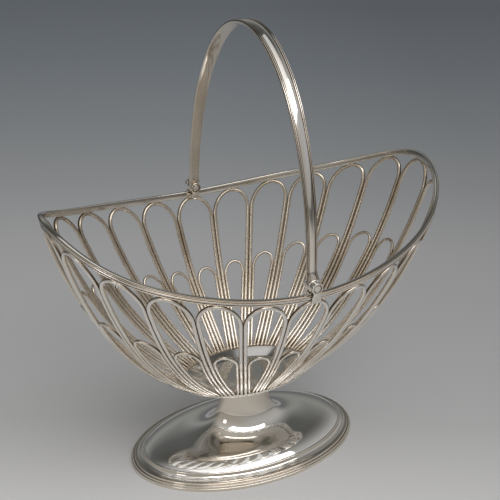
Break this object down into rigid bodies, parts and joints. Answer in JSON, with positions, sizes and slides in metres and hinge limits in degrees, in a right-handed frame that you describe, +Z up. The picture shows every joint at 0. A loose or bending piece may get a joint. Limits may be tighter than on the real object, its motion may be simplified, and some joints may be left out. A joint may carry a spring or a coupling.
{
  "type": "swing-handled sugar basket",
  "caption": "Boat-shaped silver wirework sugar basket with a reeded swing handle, on an oval trumpet foot.",
  "frame": {"origin": "centre of the foot's resting face, on the table", "axes": "+Z up, +X along the bowl towards one raised end, +Y across the bowl towards the back hinge"},
  "size_m": [0.1618, 0.1076, 0.1798],
  "materials": {
    "polished_silver": "polished silver sheet",
    "reeded_silver": "polished reeded silver",
    "wire_silver": "polished silver wire, a little tarnished",
    "hinge_silver": "silver, worn and tarnished in the joints"
  },
  "bodies": {
    "basket": {"rim_band": "reeded_silver", "large_loop_01": "wire_silver", "large_loop_02": "wire_silver", "large_loop_03": "wire_silver", "large_loop_04": "wire_silver", "large_loop_05": "wire_silver", "large_loop_06": "wire_silver", "large_loop_07": "wire_silver", "large_loop_08": "wire_silver", "large_loop_09": "wire_silver", "large_loop_10": "wire_silver", "large_loop_11": "wire_silver", "large_loop_12": "wire_silver", "large_loop_13": "wire_silver", "large_loop_14": "wire_silver", "large_loop_15": "wire_silver", "large_loop_16": "wire_silver", "large_loop_17": "wire_silver", "large_loop_18": "wire_silver", "large_loop_19": "wire_silver", "large_loop_20": "wire_silver", "large_loop_21": "wire_silver", "large_loop_22": "wire_silver", "large_loop_23": "wire_silver", "large_loop_24": "wire_silver", "small_loop_01": "wire_silver", "small_loop_02": "wire_silver", "small_loop_03": "wire_silver", "small_loop_04": "wire_silver", "small_loop_05": "wire_silver", "small_loop_06": "wire_silver", "small_loop_07": "wire_silver", "small_loop_08": "wire_silver", "small_loop_09": "wire_silver", "small_loop_10": "wire_silver", "small_loop_11": "wire_silver", "small_loop_12": "wire_silver", "small_loop_13": "wire_silver", "small_loop_14": "wire_silver", "small_loop_15": "wire_silver", "small_loop_16": "wire_silver", "small_loop_17": "wire_silver", "small_loop_18": "wire_silver", "small_loop_19": "wire_silver", "small_loop_20": "wire_silver", "small_loop_21": "wire_silver", "small_loop_22": "wire_silver", "small_loop_23": "wire_silver", "small_loop_24": "wire_silver", "bottom_plate": "polished_silver", "foot": "polished_silver", "foot_border": "reeded_silver", "inner_lug_front": "hinge_silver", "inner_lug_back": "hinge_silver", "outer_lug_front": "hinge_silver", "outer_lug_back": "hinge_silver", "hinge_pin_front": "hinge_silver", "hinge_pin_back": "hinge_silver"},
    "handle": {"swing_handle": "reeded_silver"}
  },
  "joints": [
    {"name": "handle_swing", "type": "hinge", "parent": "basket", "child": "handle", "pos_m": [0, 0, 0.0977], "axis": [0, 1, 0], "range_deg": [-73.5, 73.5]}
  ]
}
